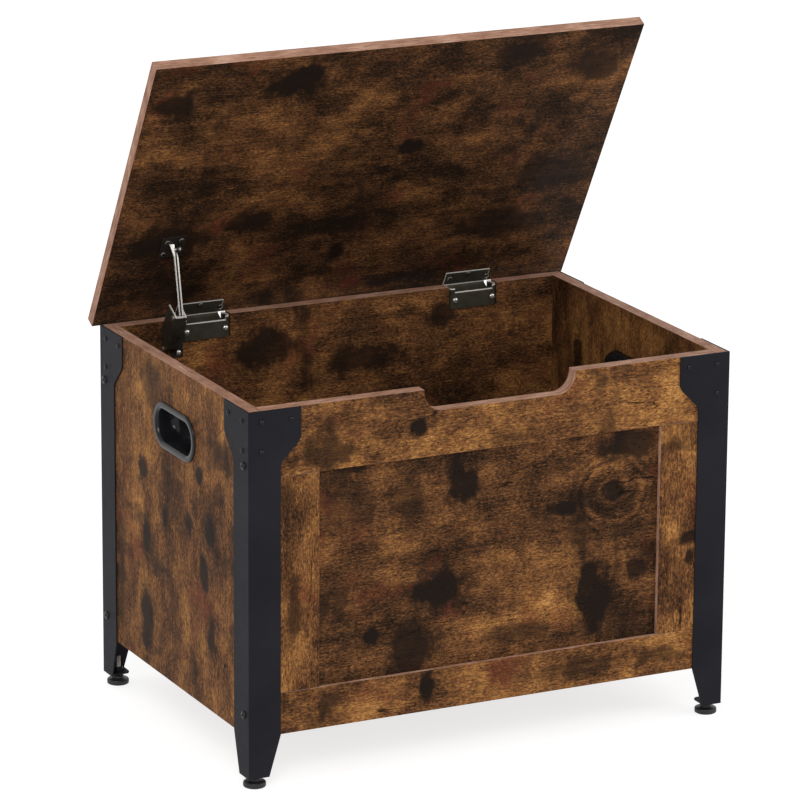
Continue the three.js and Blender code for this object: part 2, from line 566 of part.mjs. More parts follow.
// The channel: two walls with a slot for the knee's pin, joined by a web along the front.
function buildChannel() {
  const reach = Math.hypot(...STAY_KNEE);
  const [uy, uz] = STAY_KNEE.map((value) => value / reach);
  const at = ([along, across]) => [
    STAY_PIVOT[0] + uy * along + uz * across,
    STAY_PIVOT[1] + uz * along - uy * across,
  ];
  const [rim, deep] = [reach + 5.4, 17.6];
  const front = [[6, -7.2], [31, -8.8], [reach - 8, -7.4], [rim, -4.8]];
  const wallShape = outline([[-4.4, -4.4], ...front, [rim - 2.5, deep], [16, deep - 0.8], [4, 5.4], [-1, 6],
    [-4.6, 4.4], [-CHANNEL_END, 0]].map(at));
  const half = CHANNEL_WIDTH / 2;
  const walls = [-1, 1].map((end) => (
    slab(wallShape, 'x', STAY_X + end * (half - CHANNEL_WALL), STAY_X + end * half)));
  const webShape = outline([...front, ...front.slice().reverse().map(([s, t]) => [s, t + CHANNEL_WALL])].map(at));
  const web = slab(webShape, 'x', STAY_X - half + CHANNEL_WALL / 2, STAY_X + half - CHANNEL_WALL / 2);
  const slotEnd = [KNEE[0] + STAY_SLOT_LENGTH * Math.cos(STAY_SLOT_ANGLE),
    KNEE[1] + STAY_SLOT_LENGTH * Math.sin(STAY_SLOT_ANGLE)];
  const slotShape = obround(KNEE, slotEnd, STAY_PIN_RADIUS + STAY_SLOT_PLAY);
  const slot = slab(slotShape, 'x', STAY_X - half - 1, STAY_X + half + 1);
  const pivotHole = bar('x', STAY_PIN_RADIUS + HOLE_GAP, STAY_PIVOT, STAY_X - half - 1, STAY_X + half + 1);
  addPart(boxCase, 'stay_channel', cut(join(...walls, web), slot, pivotHole), 'bronze');
}

const STAY_EAR_X = STAY_X + CHANNEL_WIDTH / 2 + GAP;

function stayPlateScrews() {
  const x = STAY_EAR_X + (STEEL + STAY_PLATE_WIDTH) / 2;
  return [-1, 1].map((end) => [x, STAY_PIVOT[1] + end * STAY_PLATE_SCREW_SPREAD]);
}

// The stay's bracket on the back panel: a plate and one ear beside the channel.
function buildStayBase() {
  const [low, high] = [STAY_PIVOT[1] - STAY_PLATE_HEIGHT / 2, STAY_PIVOT[1] + STAY_PLATE_HEIGHT / 2];
  const plate = box([STAY_EAR_X, STAY_EAR_X + STAY_PLATE_WIDTH], [PLATE_BACK - STEEL, PLATE_BACK], [low, high]);
  const earFoot = [PLATE_BACK - CHANNEL_END, STAY_PIVOT[1]];
  const ear = slab(obround(STAY_PIVOT, earFoot, CHANNEL_END), 'x', STAY_EAR_X, STAY_EAR_X + STEEL);
  const pinHole = bar('x', STAY_PIN_RADIUS + HOLE_GAP, STAY_PIVOT, STAY_EAR_X - 1, STAY_EAR_X + STEEL + 1);
  const screws = stayPlateScrews();
  const holes = screws.map((place) => (
    bar('y', SCREW_RADIUS + HOLE_GAP, place, PLATE_BACK - STEEL - 1, PLATE_BACK + 1)));
  addPart(boxCase, 'stay_base_bracket', cut(join(plate, ear), pinHole, ...holes), 'bronze');
  const screw = domedScrew(SCREW_RADIUS, SCREW_LENGTH, SCREW_HEAD_RADIUS, SCREW_HEAD);
  screws.forEach(([x, z], index) => {
    const place = [x, PLATE_BACK - STEEL - GAP, z];
    addPart(boxCase, `stay_base_screw_${index + 1}`, aim(screw, [0, -1, 0], place), 'zinc');
  });
  const [left, right] = [STAY_X - CHANNEL_WIDTH / 2 - GAP, STAY_EAR_X + STEEL + GAP];
  const shank = bar('x', STAY_PIN_RADIUS, STAY_PIVOT, left - 0.5, right + 0.5);
  const heads = [[left - STAY_PIN_HEAD, left], [right, right + STAY_PIN_HEAD]].map(([from, to]) => (
    bar('x', STAY_PIN_RADIUS + 1, STAY_PIVOT, from, to)));
  addPart(boxCase, 'stay_base_pin', join(shank, ...heads), 'zinc');
}

buildFront();
buildBack();
buildSides();
buildFloor();
for (const [endName, end] of Object.entries(ENDS)) {
  for (const [sideName, side] of Object.entries(SIDES)) {
    const name = `${endName}_${sideName}`;
    buildLeg(name, side, end);
    buildFoot(name, side, end);
    buildBolts(name, side, end);
  }
}
buildHandles();
const lidScrewPlaces = buildLidBracket();
for (const [name, side] of Object.entries(SIDES)) {
  buildHingeBase(name, side * HINGE_X);
  buildHingePin(name, side * HINGE_X);
  lidScrewPlaces.push(...buildHingeLeaf(name, side * HINGE_X));
}
buildLid(lidScrewPlaces);
buildArm();
buildChannel();
buildStayBase();

// The open lid's outer back edge is the rearmost point, so the whole box moves forward by half of that.
const rearmost = opened([-LID_BACK, LID_INNER + LID_THICKNESS])[0];
const toyBox = new THREE.Group();
toyBox.position.y = -(rearmost - CASE_DEPTH / 2) / 2;
toyBox.add(boxCase, lid);

export default toyBox;
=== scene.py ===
import math

import bmesh
import bpy
from mathutils import Matrix, Vector


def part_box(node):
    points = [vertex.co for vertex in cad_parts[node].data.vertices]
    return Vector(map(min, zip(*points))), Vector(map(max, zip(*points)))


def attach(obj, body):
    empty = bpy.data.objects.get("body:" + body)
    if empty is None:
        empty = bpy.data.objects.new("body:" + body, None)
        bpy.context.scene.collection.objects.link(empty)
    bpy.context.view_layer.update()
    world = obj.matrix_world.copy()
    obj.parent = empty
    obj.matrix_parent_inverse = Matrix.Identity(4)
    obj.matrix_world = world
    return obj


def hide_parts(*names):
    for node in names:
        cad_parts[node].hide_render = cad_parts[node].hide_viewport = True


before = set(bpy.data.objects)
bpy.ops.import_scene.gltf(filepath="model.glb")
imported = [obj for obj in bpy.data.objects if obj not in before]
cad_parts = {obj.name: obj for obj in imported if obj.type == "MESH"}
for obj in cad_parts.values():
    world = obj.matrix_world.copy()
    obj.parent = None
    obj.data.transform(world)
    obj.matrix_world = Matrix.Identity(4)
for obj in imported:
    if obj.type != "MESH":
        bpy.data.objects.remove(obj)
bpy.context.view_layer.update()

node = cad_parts
scene = bpy.context.scene

# ---------------------------------------------------------------------------------------------
# The camera stands three-quarters to the left of the front, well back, on a long lens, and
# leans by less than half a degree.
# ---------------------------------------------------------------------------------------------
CAMERA_PLACE = Vector((-2.3161, -4.63036, 1.81474))
CAMERA_LENS = 215.846
CAMERA_HEADING = math.radians(26.47448)
CAMERA_DROP = math.radians(15.80327)
CAMERA_LEAN = math.radians(0.39434)

ahead = Vector((math.sin(CAMERA_HEADING) * math.cos(CAMERA_DROP),
                math.cos(CAMERA_HEADING) * math.cos(CAMERA_DROP),
                -math.sin(CAMERA_DROP)))
level_right = ahead.cross(Vector((0, 0, 1))).normalized()
level_up = level_right.cross(ahead)
right = level_right * math.cos(CAMERA_LEAN) + level_up * math.sin(CAMERA_LEAN)
up = level_up * math.cos(CAMERA_LEAN) - level_right * math.sin(CAMERA_LEAN)
camera_data = bpy.data.cameras.new("camera")
camera_data.lens = CAMERA_LENS
camera_data.sensor_width = 36
camera_data.clip_end = 50
camera = bpy.data.objects.new("camera", camera_data)
turn = Matrix((right, up, -ahead)).transposed().to_4x4()
camera.matrix_world = Matrix.Translation(CAMERA_PLACE) @ turn
scene.collection.objects.link(camera)
scene.camera = camera

# ---------------------------------------------------------------------------------------------
# A pale floor under soft studio light: a wide bright room, a large softbox high at the front
# left and a weaker one at the right.
# ---------------------------------------------------------------------------------------------
ROOM_LIGHT = 1.0
KEY_POWER = 58
FILL_POWER = 26
FLOOR_COLOUR = (0.3, 0.3, 0.3, 1)
FLOOR_GLOW = 0.74

scene.view_settings.view_transform = "Standard"
world = bpy.data.worlds.new("studio")
world.use_nodes = True
world.node_tree.nodes["Background"].inputs["Color"].default_value = (1, 1, 1, 1)
world.node_tree.nodes["Background"].inputs["Strength"].default_value = ROOM_LIGHT
scene.world = world


def softbox(name, place, aim, size, power):
    lamp = bpy.data.lights.new(name, "AREA")
    lamp.shape = "DISK"
    lamp.size = size
    lamp.energy = power
    holder = bpy.data.objects.new(name, lamp)
    holder.location = place
    holder.rotation_euler = (Vector(aim) - Vector(place)).to_track_quat("-Z", "Y").to_euler()
    scene.collection.objects.link(holder)


softbox("key_light", (-1.8, -2.6, 2.6), (0, 0, 0.25), 1.6, KEY_POWER)
softbox("fill_light", (2.6, -2.2, 1.4), (0, 0, 0.3), 1.8, FILL_POWER)

bpy.ops.object.select_all(action="DESELECT")
bpy.ops.mesh.primitive_plane_add(size=14, location=(0, 0, 0))
floor = bpy.context.object
floor.name = "studio_floor"
floor_finish = bpy.data.materials.new("floor_paint")
floor_finish.use_nodes = True
floor_shader = floor_finish.node_tree.nodes["Principled BSDF"]
floor_shader.inputs["Base Color"].default_value = FLOOR_COLOUR
floor_shader.inputs["Roughness"].default_value = 0.9
floor_shader.inputs["Emission Color"].default_value = (1, 1, 1, 1)
floor_shader.inputs["Emission Strength"].default_value = FLOOR_GLOW
floor.data.materials.append(floor_finish)

# ---------------------------------------------------------------------------------------------
# Front, back, side and bottom boards: particle board faced with a printed rustic oak paper and
# edged with a paler printed band. The boards are sawn square with a slightly eased edge.
# ---------------------------------------------------------------------------------------------
PAPER_TONES = [
    (0.0, (0.010, 0.0058, 0.0036)), (0.20, (0.030, 0.0142, 0.0068)), (0.42, (0.080, 0.0335, 0.0135)),
    (0.62, (0.155, 0.066, 0.0225)), (0.82, (0.265, 0.120, 0.035)), (1.0, (0.390, 0.195, 0.062)),
]
SMUDGE_COLOUR = (0.0100, 0.0062, 0.0045, 1)
CRACK_COLOUR = (0.0045, 0.0028, 0.0022, 1)
RED_STAIN = (0.105, 0.024, 0.013, 1)
BAND_TONES = [(0.3, (0.11, 0.05, 0.032)), (0.5, (0.27, 0.145, 0.098)), (0.72, (0.52, 0.34, 0.26))]
BAND_SHOWS = 0.0002
EASED_EDGE = 0.0005
SHARP_ANGLE = 30  # degrees; an edge that folds more is eased


class Amount:
    """A shader socket that can be added, multiplied and compared like a number."""

    def __init__(self, finish, socket):
        self.finish = finish
        self.socket = socket

    def work(self, operation, *values):
        made = self.finish.make("ShaderNodeMath", {"operation": operation}, *values)
        return Amount(self.finish, made.outputs[0])

    def __add__(self, other):
        return self.work("ADD", self, other)

    def __sub__(self, other):
        return self.work("SUBTRACT", self, other)

    def __rsub__(self, other):
        return self.work("SUBTRACT", other, self)

    def __mul__(self, other):
        return self.work("MULTIPLY", self, other)

    def __truediv__(self, other):
        return self.work("DIVIDE", self, other)

    def __pow__(self, other):
        return self.work("POWER", self, other)

    def __abs__(self):
        return self.work("ABSOLUTE", self)

    __radd__ = __add__
    __rmul__ = __mul__

    def most(self, other):
        return self.work("MAXIMUM", self, other)

    def least(self, other):
        return self.work("MINIMUM", self, other)

    def step(self, low, high):
        """0 below low, 1 above high and smooth between them; low may be the larger."""
        settings = {"interpolation_type": "SMOOTHSTEP"}
        made = self.finish.make("ShaderNodeMapRange", settings, self, low, high)
        return Amount(self.finish, made.outputs[0])


class Finish:
    """A material that is put together from nodes."""

    def __init__(self, name):
        self.material = bpy.data.materials.new(name)
        self.material.use_nodes = True
        self.nodes = self.material.node_tree.nodes
        self.links = self.material.node_tree.links
        self.shader = self.nodes["Principled BSDF"]

    def make(self, kind, settings, *values, **named):
        made = self.nodes.new(kind)
        for key, value in settings.items():
            setattr(made, key, value)
        for index, value in enumerate(values):
            self.feed(made.inputs[index], value)
        for key, value in named.items():
            socket = next(s for s in made.inputs if s.identifier == key)
            self.feed(socket, value)
        return made

    def feed(self, socket, value):
        if isinstance(value, Amount):
            value = value.socket
        if isinstance(value, bpy.types.NodeSocket):
            self.links.new(value, socket)
        else:
            socket.default_value = value

    def place(self, centre, grain, across):
        """Distances along the grain, across it and through the board, from the board's centre."""
        point = self.make("ShaderNodeTexCoord", {}).outputs["Object"]
        offset = self.make("ShaderNodeVectorMath", {"operation": "SUBTRACT"}, point, centre).outputs[0]
        through = Vector(grain).cross(Vector(across))
        lengths = []
        for axis in (grain, across, through):
            dot = self.make("ShaderNodeVectorMath", {"operation": "DOT_PRODUCT"}, offset, tuple(axis))
            lengths.append(Amount(self, dot.outputs["Value"]))
        return lengths

    def point(self, x, y, z):
        return self.make("ShaderNodeCombineXYZ", {}, x, y, z).outputs[0]

    def noise(self, point, scale, seed=0.0, detail=3.0, rough=0.55):
        """A cloudy pattern about 0.5, stretched by the three scales."""
        moved = self.make("ShaderNodeVectorMath", {"operation": "MULTIPLY_ADD"}, point, scale,
                          (seed, seed * 0.7, seed * 1.3)).outputs[0]
        made = self.make("ShaderNodeTexNoise", {}, Vector=moved, Scale=1.0, Detail=detail,
                         Roughness=rough)
        return Amount(self, made.outputs["Fac"])

    def ramp(self, amount, stops):
        made = self.make("ShaderNodeValToRGB", {}, amount)
        elements = made.color_ramp.elements
        while len(elements) < len(stops):
            elements.new(0.5)
        for element, (position, colour) in zip(elements, stops):
            element.position = position
            element.color = (*colour, 1)
        return made.outputs["Color"]

    def mix(self, amount, first, second):
        made = self.make("ShaderNodeMix", {"data_type": "RGBA", "clamp_factor": True},
                         Factor_Float=amount, A_Color=first, B_Color=second)
        return next(s for s in made.outputs if s.identifier == "Result_Color")

    def bump(self, height, distance, strength=1.0):
        made = self.make("ShaderNodeBump", {}, Strength=strength, Distance=distance, Height=height)
        self.links.new(made.outputs["Normal"], self.shader.inputs["Normal"])

    def fill(self, **values):
        for key, value in values.items():
            self.feed(self.shader.inputs[key.replace("_", " ")], value)


def rounded_outline(u, v, centre, half, radius):
    """How far a point lies outside a rectangle with round corners."""
    du = abs(u - centre[0]) - (half[0] - radius)
    dv = abs(v - centre[1]) - (half[1] - radius)
    outside = (du.most(0) ** 2 + dv.most(0) ** 2) ** 0.5
    return outside + du.most(dv).least(0) - radius


def reach_of(u, v, spot):
    """How far a point lies from an oval spot's centre; its outline is at 1."""
    along, across, reach_along, reach_across, _ = spot
    return (((u - along) / reach_along) ** 2 + ((v - across) / reach_across) ** 2) ** 0.5


def bend_round(u, v, knots):
    """The distance across the grain, which runs round each knot, and the knots' own rings."""
    bent = v
    rings = None
    for knot in knots:
        reach = reach_of(u, v, knot)
        near = reach.step(1.6, 0.0)
        bent = bent + (v - knot[1]) * near * (-0.75 * knot[4])
        ring = near * reach
        rings = ring if rings is None else rings + ring
    return bent, rings


def smudge_mask(finish, flat, u, v, seed, smudges, knots):
    """Charred smudges run across the grain with feathered ends, and a few more are listed."""
    feather = finish.noise(flat, (46, 30, 30), seed + 7.7, 5, 0.68)
    dark = finish.noise(flat, (15, 8, 12), seed + 15.4, 4, 0.55).step(0.575, 0.70) * 0.75
    for smudge in smudges:
        ragged = reach_of(u, v, smudge) + (feather - 0.5) * 2.2
        dark = dark.most(ragged.step(1.15, 0.5) * smudge[4])
    for knot in knots:
        ragged = reach_of(u, v, knot) + (feather - 0.5) * 0.5
        dark = dark.most(ragged.step(0.52, 0.22) * knot[4])
    return dark


def open_marks(finish, flat, waved, drawn, seed):
    """Open pores and long meandering cracks lie along the grain."""
    pores = finish.noise(waved, (260, 900, 500), seed + 8.8, 2, 0.5).step(0.60, 0.66)
    scatter = finish.noise(flat, (34, 40, 40), seed + 5.5, 3, 0.6).step(0.44, 0.56)
    drift = finish.noise(drawn, (3.2, 21, 10), seed + 11.6, 3, 0.5)
    crack = abs(drift - 0.5).step(0.0045, 0.0)
    broken = finish.noise(flat, (11, 60, 30), seed + 2.2, 3, 0.6).step(0.5, 0.62)
    return (pores * scatter * 0.85).most(crack * broken * 0.9)


def edge_band(finish, flat, u, v, half, seed, notch):
    """Where the edge band shows, round the board and on its narrow faces, and its paler colour."""
    edge = (abs(u) - (half[0] - BAND_SHOWS)).most(abs(v) - (half[1] - BAND_SHOWS))
    if notch is not None:
        edge = edge.most(0 - rounded_outline(u, v, *notch) + BAND_SHOWS)
    grain = finish.noise(flat, (60, 60, 900), seed + 1.1, 4, 0.7)
    cloud = finish.noise(flat, (30, 30, 60), seed + 3.9, 3, 0.6)
    return edge.step(-0.0001, 0.0001), finish.ramp(grain * 0.6 + cloud * 0.4, BAND_TONES)


def printed_board(name, centre, half, grain, across, seed, tone=0.0, smudges=(), knots=(),
                  notch=None):
    """Printed rustic oak. half is half the board's length and width in its own plane, smudges and
    knots are (along, across, reach along, reach across, strength) from its centre."""
    finish = Finish(name)
    u, v, w = finish.place(centre, grain, across)
    flat = finish.point(u, v, w)
    bent, rings = bend_round(u, v, knots)
    drawn = finish.point(u, bent, w)
    wave = finish.noise(flat, (7, 16, 7), seed + 1.7, 2)
    waved = finish.point(u, bent + wave * 0.012, w)

    clouds = finish.noise(flat, (5, 8, 6), seed + 4.1, 4, 0.55)
    patches = finish.noise(flat, (20, 27, 26), seed + 9.3, 6, 0.68)
    blots = finish.noise(flat, (13, 19, 16), seed + 5.8, 6, 0.66).step(0.44, 0.56)
    streaks = finish.noise(waved, (9, 170, 60), seed + 2.9, 5, 0.68)
    lines = finish.noise(waved, (60, 900, 300), seed + 6.2, 4, 0.75)
    mottle = finish.noise(flat, (230, 520, 400), seed + 3.3, 3, 0.8)
    light = (clouds - 0.5) + (patches - 0.5) * 1.1 + (blots - 0.5) * 0.16 + (streaks - 0.5) * 0.4
    light = light + (lines - 0.5) * 0.8 + (mottle - 0.5) * 1.5 + (0.47 + tone)
    if rings is not None:
        phase = rings * 40 + wave * 16 + patches * 9
        light = light + phase.work("SINE", phase) * rings.step(0.02, 0.35) * 0.13

    stain = finish.noise(flat, (13, 11, 12), seed + 12.9, 4, 0.6).step(0.56, 0.72)
    dark = smudge_mask(finish, flat, u, v, seed, smudges, knots) * (0.98 + (mottle - 0.5))
    marks = open_marks(finish, flat, waved, drawn, seed)
    banded, band = edge_band(finish, flat, u, v, half, seed, notch)
    paper = finish.mix(stain * 0.45, finish.ramp(light, PAPER_TONES), RED_STAIN)
    paper = finish.mix(dark, paper, SMUDGE_COLOUR)
    paper = finish.mix(marks, paper, CRACK_COLOUR)

    finish.fill(Base_Color=finish.mix(banded, paper, band), Specular_IOR_Level=0.03)
    finish.fill(Roughness=0.52 + (lines - 0.5) * 0.22 + marks * 0.25 - dark * 0.06)
    finish.bump(lines * 0.5 + streaks * 0.4 - marks * 0.9 + mottle * 0.15, 0.00022, 0.55)
    return finish.material


def dress(name, material):
    """Gives a CAD node its finish."""
    piece = node[name]
    piece.data.materials.clear()
    piece.data.materials.append(material)
    return piece


def ease_edges(piece, width, segments=2):
    """Rounds a CAD node's sharp edges with live modifiers."""
    weld = piece.modifiers.new("weld", "WELD")
    weld.merge_threshold = 0.00001
    bevel = piece.modifiers.new("eased_edges", "BEVEL")
    bevel.width = width
    bevel.segments = segments
    bevel.limit_method = "ANGLE"
    bevel.angle_limit = math.radians(SHARP_ANGLE)


def middle(name):
    """The middle of a CAD node's box and half its size."""
    low, high = (Vector(corner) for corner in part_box(name))
    return (low + high) / 2, (high - low) / 2


X_AXIS = Vector((1, 0, 0))
Y_AXIS = Vector((0, 1, 0))
Z_AXIS = Vector((0, 0, 1))


def board(name, grain, across, seed, **look):
    centre, size = middle(name)
    half = (abs(size.dot(grain)), abs(size.dot(across)))
    material = printed_board(f"{name}_print", tuple(centre), half, grain, across, seed, **look)
    ease_edges(dress(name, material), EASED_EDGE)


NOTCH_X = 0.008
NOTCH_HALF = 0.092
NOTCH_FLOOR = 0.3993
NOTCH_CORNER = 0.022
NOTCH_RISE = 0.1


def notch_of(name):
    """The finger notch as (centre, half size, corner radius) from a front board's own centre."""
    centre, _ = middle(name)
    notch_centre = (NOTCH_X - centre.x, NOTCH_FLOOR + NOTCH_RISE - centre.z)
    return notch_centre, (NOTCH_HALF, NOTCH_RISE), NOTCH_CORNER


board("front_top_rail", X_AXIS, Z_AXIS, 3.1, tone=0.08, notch=notch_of("front_top_rail"),
      smudges=[(-0.090, -0.005, 0.013, 0.013, 1.0), (-0.200, -0.018, 0.05, 0.014, 0.75),
               (0.02, -0.030, 0.05, 0.01, 0.4)])
board("front_board", X_AXIS, Z_AXIS, 7.4, tone=-0.09, notch=notch_of("front_board"),
      smudges=[(0.090, 0.026, 0.026, 0.009, 1.0), (-0.035, 0.070, 0.026, 0.030, 1.0),
               (-0.062, -0.048, 0.045, 0.03, 1.0), (-0.10, 0.06, 0.03, 0.03, 0.55),
               (-0.095, -0.115, 0.035, 0.045, 0.85), (0.132, -0.085, 0.03, 0.055, 1.0),
               (0.172, 0.09, 0.05, 0.022, 0.85), (-0.144, -0.089, 0.011, 0.010, 1.0),
               (0.185, -0.055, 0.018, 0.014, 0.8), (0.03, -0.11, 0.05, 0.012, 0.55),
               (-0.17, 0.065, 0.04, 0.03, 0.5)],
      knots=[(0.152, 0.037, 0.040, 0.036, 0.9)])
board("front_bottom_rail", X_AXIS, Z_AXIS, 11.9, tone=0.02,
      smudges=[(-0.078, 0.004, 0.012, 0.022, 1.0), (0.12, -0.002, 0.05, 0.014, 0.6),
               (0.21, 0.0, 0.03, 0.012, 0.6)])
board("front_stile_left", Z_AXIS, X_AXIS, 15.2, tone=-0.02,
      smudges=[(-0.03, 0.004, 0.04, 0.010, 0.7), (0.09, -0.006, 0.03, 0.010, 0.5)])
board("front_stile_right", Z_AXIS, X_AXIS, 21.8, tone=0.06,
      smudges=[(-0.012, 0.004, 0.012, 0.020, 0.95), (-0.035, 0.006, 0.012, 0.007, 0.9)])
board("left_panel", Z_AXIS, Y_AXIS, 27.3, tone=0.0,
      smudges=[(0.044, 0.088, 0.020, 0.016, 0.9), (-0.034, 0.076, 0.030, 0.014, 0.9),
               (0.001, 0.025, 0.020, 0.010, 0.95), (0.014, -0.040, 0.014, 0.010, 0.9),
               (0.021, -0.096, 0.024, 0.014, 0.95), (-0.030, -0.080, 0.024, 0.012, 0.9),
               (-0.128, 0.077, 0.050, 0.020, 0.9), (0.077, -0.068, 0.014, 0.012, 0.9),
               (0.108, -0.141, 0.03, 0.012, 0.8), (-0.098, -0.100, 0.03, 0.012, 0.85),
               (0.150, 0.06, 0.03, 0.03, 0.6), (-0.08, 0.15, 0.08, 0.012, 0.6)])
board("right_panel", Z_AXIS, Y_AXIS, 33.6, tone=0.10, smudges=[(0.1, 0.12, 0.05, 0.012, 0.9)])
board("back_panel", X_AXIS, Z_AXIS, 39.7, tone=-0.06,
      smudges=[(-0.10, 0.135, 0.05, 0.03, 0.9), (0.02, 0.11, 0.06, 0.02, 0.85),
               (0.13, 0.15, 0.02, 0.015, 0.8)])
board("bottom_panel", X_AXIS, Y_AXIS, 45.1, tone=-0.02)
board("bottom_batten_front", X_AXIS, Y_AXIS, 51.5)
board("bottom_batten_back", X_AXIS, Y_AXIS, 57.5)

# ---------------------------------------------------------------------------------------------
# The lid: one board 13 mm thick with the same printed face, banded all round, its grain running
# from side to side.
# ---------------------------------------------------------------------------------------------
LID_LEAN = math.radians(60.5)
lid_slope = Vector((0, -math.cos(LID_LEAN), math.sin(LID_LEAN)))
lid_centre, _ = middle("lid_panel")
LID_HALF = (0.3, 0.19)
lid_print = printed_board(
    "lid_print", tuple(lid_centre), LID_HALF, X_AXIS, lid_slope, 63.2, tone=-0.24,
    smudges=[(-0.12, 0.151, 0.045, 0.028, 1.0), (-0.265, 0.132, 0.035, 0.022, 0.9),
             (0.044, 0.037, 0.024, 0.012, 1.0), (0.239, -0.025, 0.05, 0.04, 0.7),
             (-0.135, -0.053, 0.045, 0.02, 0.8), (0.193, -0.096, 0.06, 0.025, 0.75),
             (-0.014, -0.115, 0.012, 0.014, 1.0), (0.149, 0.165, 0.04, 0.02, 0.8),
             (0.258, 0.138, 0.04, 0.03, 0.8), (-0.225, -0.075, 0.05, 0.03, 0.85),
             (-0.215, -0.15, 0.05, 0.02, 0.7)])
ease_edges(dress("lid_panel", lid_print), EASED_EDGE)

# ---------------------------------------------------------------------------------------------
# Four legs folded from 1.5 mm sheet, powder coated matt black with a faint orange peel.
# ---------------------------------------------------------------------------------------------
POWDER_COLOUR = [(0.35, (0.0088, 0.0084, 0.0112)), (0.65, (0.0118, 0.0112, 0.0150))]
FOLD_RADIUS = 0.0007


def powder_coat():
    finish = Finish("black_powder_coat")
    point = finish.make("ShaderNodeTexCoord", {}).outputs["Object"]
    cloud = finish.noise(point, (12, 12, 12), 1.3, 3)
    peel = finish.noise(point, (1400, 1400, 1400), 4.4, 2)
    dust = finish.noise(point, (90, 90, 90), 7.7, 4)
    finish.fill(Base_Color=finish.ramp(cloud, POWDER_COLOUR))
    finish.fill(Roughness=0.5 + (dust - 0.5) * 0.14, Specular_IOR_Level=0.06)
    finish.bump(peel, 0.00006, 0.5)
    return finish.material


powder = powder_coat()
for name in [name for name in node if name.startswith("leg_") and "bolt" not in name]:
    ease_edges(dress(name, powder), FOLD_RADIUS, 3)

# ---------------------------------------------------------------------------------------------
# Twenty-four domed screws hold the legs' flares to the boards, three on each face of each leg.
# Each has a low round head with a cross recess.
# ---------------------------------------------------------------------------------------------
MM = 0.001
DOME_HEAD = [(2.6, -0.2), (2.75, 0.2), (2.7, 0.6), (2.35, 1.15), (1.7, 1.55), (0.9, 1.75), (0.2, 1.8)]
FLARE_SCREWS = [(16, 12.5), (51, 12.5), (15.5, 45.5)]
CROSS_WIDTH = 0.55
# The colour of the painted highlights on the hinge and stay metal.
PAINTED_HIGHLIGHT_METAL = (0.82, 0.775, 0.71, 1)


def plated(name, tones, roughness, metallic=0.85, place=((0, 0, 0), X_AXIS, Z_AXIS), shine=None):
    """Metal with a cloudy tone and fine rubbing; shine(u, v, w) is 1 where a highlight is painted on in
    a pale metal colour, with a smoother gloss.
    """
    finish = Finish(name)
    u, v, w = finish.place(*place)
    flat = finish.point(u, v, w)
    cloud = finish.noise(flat, (90, 90, 90), 2.2, 4)
    rub = finish.noise(flat, (260, 2100, 2100), 5.1, 3)
    colour = finish.ramp(cloud, tones)
    gloss = (rub - 0.5) * 0.2 + roughness
    if shine is not None:
        # Painted highlight: pale metal laid into the base colour where shine is 1, standing in for
        # light caught on edges and rims.
        highlight_mask = shine(u, v, w)
        colour = finish.mix(highlight_mask, colour, PAINTED_HIGHLIGHT_METAL)
        gloss = gloss - highlight_mask * (roughness - 0.24)
    finish.fill(Base_Color=colour, Roughness=gloss, Metallic=metallic)
    finish.bump(rub, 0.00003, 0.35)
    return finish.material


black_head = plated("black_oxide", [(0.3, (0.014, 0.013, 0.015)), (0.7, (0.030, 0.029, 0.032))], 0.28)


def only(piece):
    """Selects one piece and makes it active."""
    bpy.ops.object.select_all(action="DESELECT")
    piece.select_set(True)
    bpy.context.view_layer.objects.active = piece


def turned(name, profile, segments=28):
    """A turned piece about its own z: (radius, height) steps in millimetres, extruded from a disc."""
    bpy.ops.object.select_all(action="DESELECT")
    radius, height = profile[0]
    bpy.ops.mesh.primitive_circle_add(vertices=segments, radius=radius * MM, fill_type="NGON",
                                      location=(0, 0, height * MM))
    piece = bpy.context.object
    piece.name = name
    bpy.ops.object.mode_set(mode="EDIT")
    bpy.ops.mesh.select_all(action="SELECT")
    for next_radius, next_height in profile[1:]:
        lift = (0, 0, (next_height - height) * MM)
        bpy.ops.mesh.extrude_region_move(TRANSFORM_OT_translate={"value": lift})
        growth = next_radius / radius
        bpy.ops.transform.resize(value=(growth, growth, 1))
        radius, height = next_radius, next_height
    bpy.ops.mesh.select_all(action="SELECT")
    bpy.ops.mesh.normals_make_consistent(inside=False)
    bpy.ops.object.mode_set(mode="OBJECT")
    bpy.ops.object.transform_apply(location=True, rotation=True, scale=True)
    return piece


def cut_away(piece, cutter):
    """Takes the cutter's solid out of a piece and removes the cutter."""
    modifier = piece.modifiers.new("cut", "BOOLEAN")
    modifier.operation = "DIFFERENCE"
    modifier.object = cutter
    only(piece)
    bpy.ops.object.modifier_apply(modifier="cut")
    bpy.data.objects.remove(cutter)


def cross_recess(piece, reach, top, depth):
    """Cuts a cross into the top of a turned head."""
    for size in ((reach, CROSS_WIDTH), (CROSS_WIDTH, reach)):
        bpy.ops.object.select_all(action="DESELECT")
        bpy.ops.mesh.primitive_cube_add(size=1, location=(0, 0, top * MM))
        cutter = bpy.context.object
        cutter.scale = (size[0] * MM, size[1] * MM, depth * 2 * MM)
        bpy.ops.object.transform_apply(location=True, rotation=True, scale=True)
        cut_away(piece, cutter)


def stand(piece, foot, axis):
    """Stands a turned piece on a point along an axis, as part of its mesh."""
    turn = Vector(axis).to_track_quat("Z", "Y").to_matrix().to_4x4()
    piece.matrix_basis = Matrix.Translation(foot) @ turn
    only(piece)
    bpy.ops.object.transform_apply(location=True, rotation=True, scale=True)


def hand_over(piece, body, slot, material, *nodes, smooth=35):
    """Smooths a new piece, gives it its finish and lets it ride on its body in place of its nodes."""
    only(piece)
    piece.data.materials.clear()
    piece.data.materials.append(material)
    bpy.ops.object.shade_smooth_by_angle(angle=math.radians(smooth))
    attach(piece, body)
    if nodes:
        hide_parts(*nodes)
    return piece


def copy_of(piece, name):
    twin = piece.copy()
    twin.data = piece.data.copy()
    twin.name = name
    scene.collection.objects.link(twin)
    return twin


